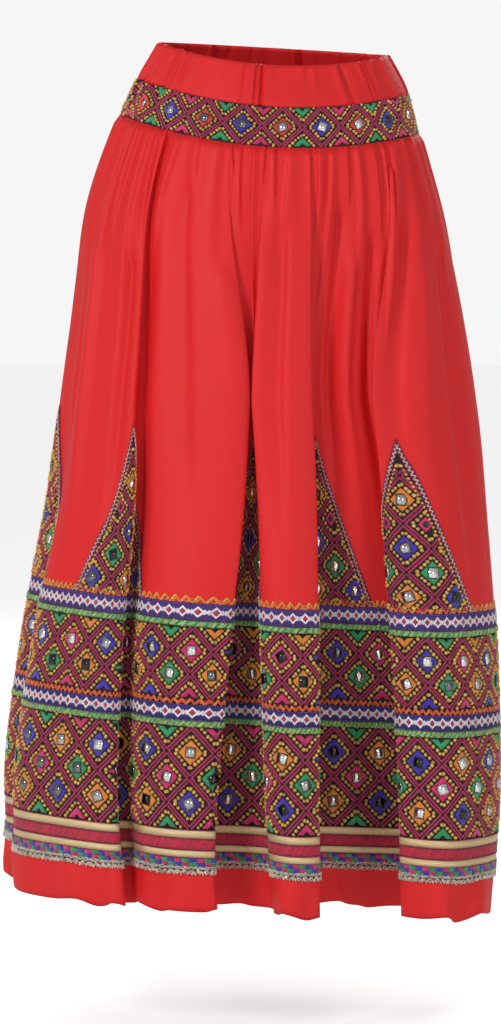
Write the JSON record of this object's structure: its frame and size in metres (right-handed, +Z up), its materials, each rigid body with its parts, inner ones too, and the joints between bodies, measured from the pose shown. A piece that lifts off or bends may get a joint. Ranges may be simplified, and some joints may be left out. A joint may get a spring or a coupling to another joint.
{
  "type": "lehenga skirt",
  "caption": "Long red gathered lehenga skirt, worn and open at waist and hem, with mirror-work bands, trims and embroidered triangles.",
  "frame": {"origin": "the middle of the waist opening at its upper edge, where the wearer's waist holds the skirt", "axes": "+Z up along the skirt, -Y towards the side that is looked at, +X to that side's right"},
  "size_m": [0.5768, 0.4782, 0.9979],
  "materials": {
    "red_cloth": "plain woven cotton silk, soft sheen",
    "mirror_embroidery": "dark cloth covered with bright satin stitch, chain stitch and knots",
    "mirror": "small square mirrors, stitched down",
    "diamond_lace": "woven lace trim with a chain of white diamonds",
    "green_cord": "stitched cord",
    "gold_braid": "gold ribbon on both sides of a ribbed crimson one",
    "check_ribbon": "woven check ribbon",
    "silver_lace": "soft scalloped metallic lace",
    "silver_braid": "narrow zigzag metallic braid on maroon"
  },
  "bodies": {
    "root": {"yoke_back": "red_cloth", "yoke_front": "red_cloth", "band_back": "mirror_embroidery", "band_front": "mirror_embroidery", "body_back": "red_cloth", "body_front": "red_cloth", "border_upper_back": "mirror_embroidery", "border_upper_front": "mirror_embroidery", "border_lower_back": "mirror_embroidery", "border_lower_front": "mirror_embroidery", "hem_back": "red_cloth", "hem_front": "red_cloth", "upper_lace": "diamond_lace", "upper_cord": "green_cord", "middle_lace": "diamond_lace", "middle_cord": "green_cord", "crimson_braid": "gold_braid", "check_ribbon": "check_ribbon", "silver_lace": "silver_lace", "godet_1": "mirror_embroidery", "godet_braid_1": "silver_braid", "godet_2": "mirror_embroidery", "godet_braid_2": "silver_braid", "godet_3": "mirror_embroidery", "godet_braid_3": "silver_braid", "godet_4": "mirror_embroidery", "godet_braid_4": "silver_braid", "godet_5": "mirror_embroidery", "godet_braid_5": "silver_braid", "godet_6": "mirror_embroidery", "godet_braid_6": "silver_braid", "godet_7": "mirror_embroidery", "godet_braid_7": "silver_braid", "godet_8": "mirror_embroidery", "godet_braid_8": "silver_braid", "godet_9": "mirror_embroidery", "godet_braid_9": "silver_braid"}
  },
  "joints": []
}
